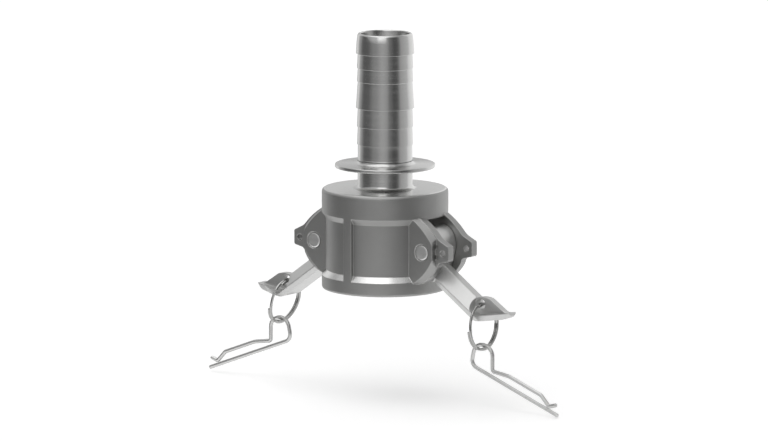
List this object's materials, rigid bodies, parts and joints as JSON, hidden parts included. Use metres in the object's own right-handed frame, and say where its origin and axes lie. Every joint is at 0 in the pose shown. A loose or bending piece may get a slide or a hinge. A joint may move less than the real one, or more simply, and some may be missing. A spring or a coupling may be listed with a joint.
{
  "type": "cam and groove coupler",
  "caption": "Hose coupler: open socket with hinged cam arms, pull rings and hairpin clips below, barbed hose tail with a round collar above.",
  "frame": {"origin": "centre of the socket's mouth, on the coupler axis", "axes": "+Z along the coupler axis from the mouth to the hose tail, the arms stand out along +X and -X, the arm pins lie along Y"},
  "size_m": [0.1964, 0.057, 0.1647],
  "materials": {
    "body_casting": "satin investment casting",
    "shank_turned": "bright turned",
    "seal_rubber": "matte moulded",
    "arm_casting": "satin investment casting",
    "pin_steel": "drawn and headed",
    "ring_steel": "bright rolled wire",
    "clip_wire": "drawn spring wire"
  },
  "bodies": {
    "coupler": {"coupler_body": "body_casting", "hose_shank": "shank_turned", "shank_collar": "shank_turned", "gasket": "seal_rubber", "pivot_pin_right": "pin_steel", "pivot_pin_left": "pin_steel"},
    "arm_right": {"cam_arm_right": "arm_casting"},
    "arm_left": {"cam_arm_left": "arm_casting"},
    "ring_right": {"pull_ring_right": "ring_steel"},
    "ring_left": {"pull_ring_left": "ring_steel"},
    "clip_right": {"safety_clip_right": "clip_wire"},
    "clip_left": {"safety_clip_left": "clip_wire"}
  },
  "joints": [
    {"name": "arm_right_swing", "type": "hinge", "parent": "coupler", "child": "arm_right", "pos_m": [0.03009, 0, 0.02028], "axis": [0, -1, 0], "range_deg": [0, 90]},
    {"name": "arm_left_swing", "type": "hinge", "parent": "coupler", "child": "arm_left", "pos_m": [-0.03009, 0, 0.02028], "axis": [0, 1, 0], "range_deg": [0, 90]},
    {"name": "ring_right_swing", "type": "hinge", "parent": "arm_right", "child": "ring_right", "pos_m": [0.0544, 0, -0.002], "axis": [0, -1, 0], "range_deg": [-30, 45]},
    {"name": "ring_left_swing", "type": "hinge", "parent": "arm_left", "child": "ring_left", "pos_m": [-0.0544, 0, -0.002], "axis": [0, 1, 0], "range_deg": [-45, 30]},
    {"name": "clip_right_swing", "type": "hinge", "parent": "ring_right", "child": "clip_right", "pos_m": [0.0544, 0, -0.02265], "axis": [0, -1, 0], "range_deg": [-70, 30]},
    {"name": "clip_left_swing", "type": "hinge", "parent": "ring_left", "child": "clip_left", "pos_m": [-0.05974, 0, -0.02195], "axis": [0, 1, 0], "range_deg": [-70, 30]}
  ]
}
